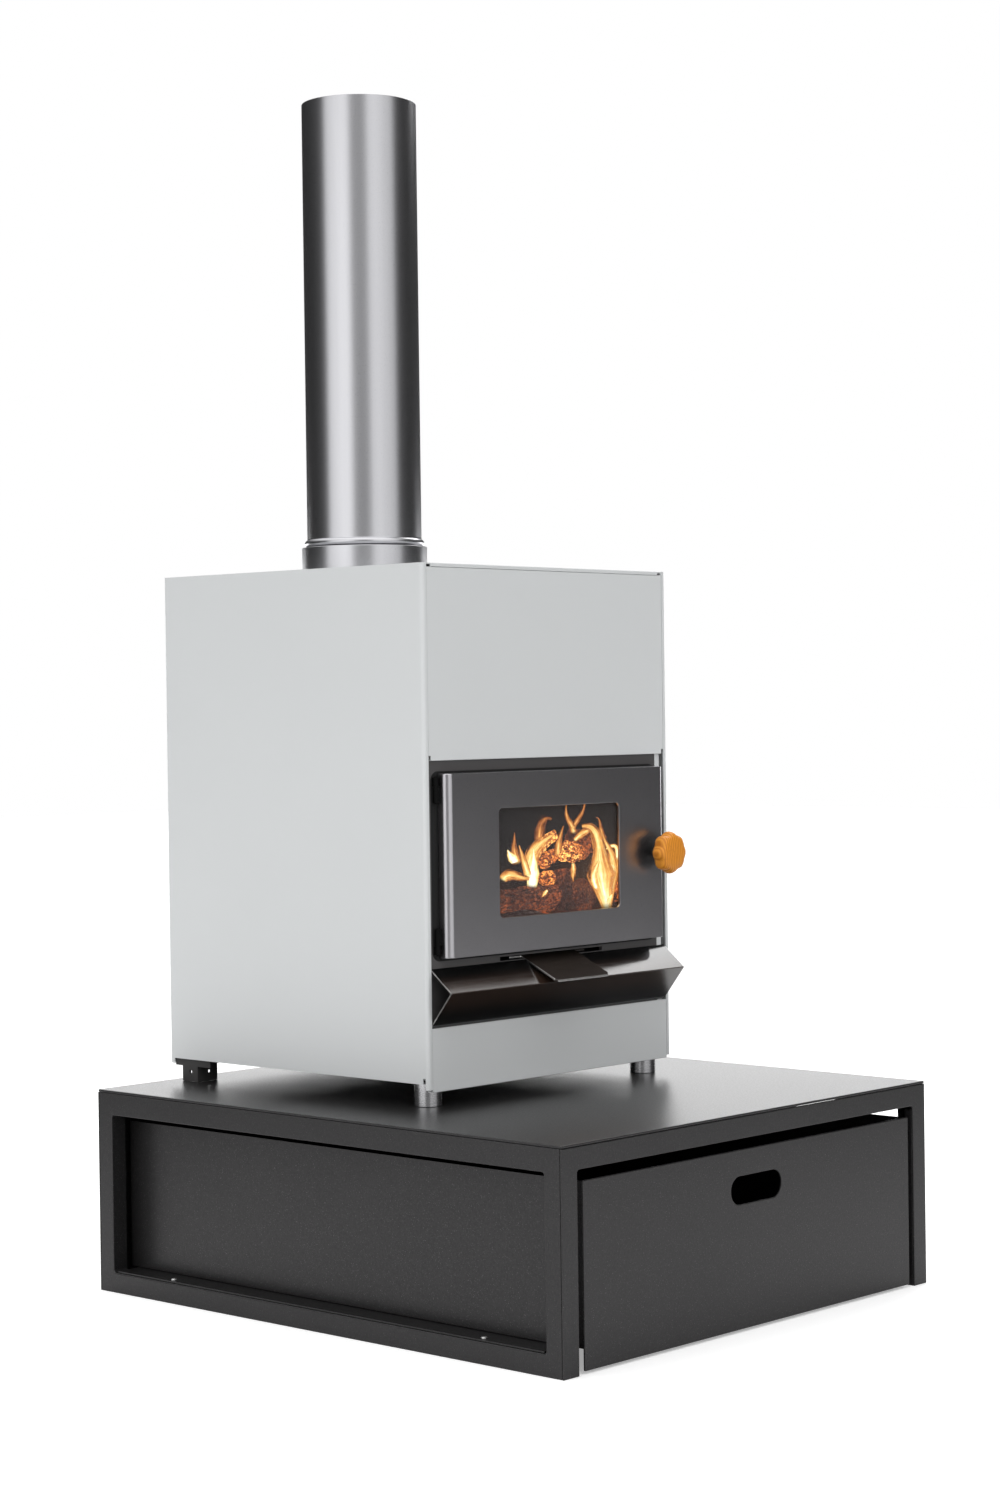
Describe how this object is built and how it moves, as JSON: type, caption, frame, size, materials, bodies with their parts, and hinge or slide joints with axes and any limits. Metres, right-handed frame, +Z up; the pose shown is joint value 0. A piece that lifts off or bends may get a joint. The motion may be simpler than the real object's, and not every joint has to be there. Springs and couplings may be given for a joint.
{
  "type": "wood burning stove",
  "caption": "Freestanding wood burning stove with a glazed hinged door, wooden turn knob, sliding air control and flue pipe, on a low steel plinth with a wood drawer.",
  "frame": {"origin": "on the floor, under the centre of the plinth", "axes": "+Z up; the stove faces -Y; +X is to the right of a person facing the stove"},
  "size_m": [0.689, 0.782, 1.522],
  "materials": {
    "casing": "satin light grey powder coat",
    "charcoal": "charcoal hammer-textured powder coat",
    "stove_black": "matt heat-resistant black",
    "gloss_black": "gloss black enamel",
    "steel": "satin stainless",
    "zinc": "zinc plated",
    "cast_iron": "matt black",
    "firebrick": "rough fired clay",
    "glass": "clear ceramic glass",
    "rope": "braided glass-fibre rope",
    "wood": "satin varnish"
  },
  "bodies": {
    "stove": {"plinth_top": "charcoal", "plinth_left_side": "charcoal", "plinth_right_side": "charcoal", "plinth_front_frame": "charcoal", "plinth_back_panel": "charcoal", "drawer_runner_left": "charcoal", "drawer_runner_right": "charcoal", "runner_screw_left_front": "zinc", "runner_screw_left_rear": "zinc", "runner_screw_right_front": "zinc", "runner_screw_right_rear": "zinc", "casing_left": "casing", "casing_right": "casing", "casing_back": "casing", "casing_top": "casing", "front_upper_panel": "casing", "front_lower_panel": "casing", "base_plate": "stove_black", "front_foot_left": "steel", "front_foot_right": "steel", "rear_foot_left": "stove_black", "rear_foot_right": "stove_black", "upright_left": "casing", "upright_right": "casing", "firebox_stand_left": "stove_black", "firebox_stand_right": "stove_black", "firebox_body": "stove_black", "firebox_front_plate": "stove_black", "firebrick_floor": "firebrick", "firebrick_left": "firebrick", "firebrick_right": "firebrick", "firebrick_back": "firebrick", "smoke_baffle": "firebrick", "ash_lip": "gloss_black", "air_slide_guide": "stove_black", "flue_collar": "steel", "flue_pipe": "steel", "hinge_pin_upper": "stove_black", "hinge_pin_lower": "stove_black", "hinge_bracket_upper": "stove_black", "hinge_bracket_lower": "stove_black"},
    "door": {"door_plate": "cast_iron", "door_glass": "glass", "glass_gasket": "rope", "glass_retainer": "stove_black", "door_rope_seal": "rope", "door_knuckle_upper": "stove_black", "door_knuckle_lower": "stove_black"},
    "latch": {"latch_spindle": "stove_black", "latch_bar": "stove_black", "door_knob": "wood"},
    "wood_drawer": {"drawer_front": "charcoal", "drawer_box": "charcoal"},
    "air_control": {"air_slide": "stove_black"}
  },
  "joints": [
    {"name": "door_hinge", "type": "hinge", "parent": "stove", "child": "door", "pos_m": [-0.2075, -0.0775, 0.54225], "axis": [0, 0, -1], "range_deg": [0, 110]},
    {"name": "latch_turn", "type": "hinge", "parent": "door", "child": "latch", "pos_m": [0.185, -0.077, 0.542], "axis": [0, -1, 0], "range_deg": [0, 90]},
    {"name": "air_control_slide", "type": "slide", "parent": "stove", "child": "air_control", "axis": [1, 0, 0], "range_m": [-0.04, 0.04]},
    {"name": "wood_drawer_slide", "type": "slide", "parent": "stove", "child": "wood_drawer", "axis": [0, -1, 0], "range_m": [0, 0.55]}
  ]
}
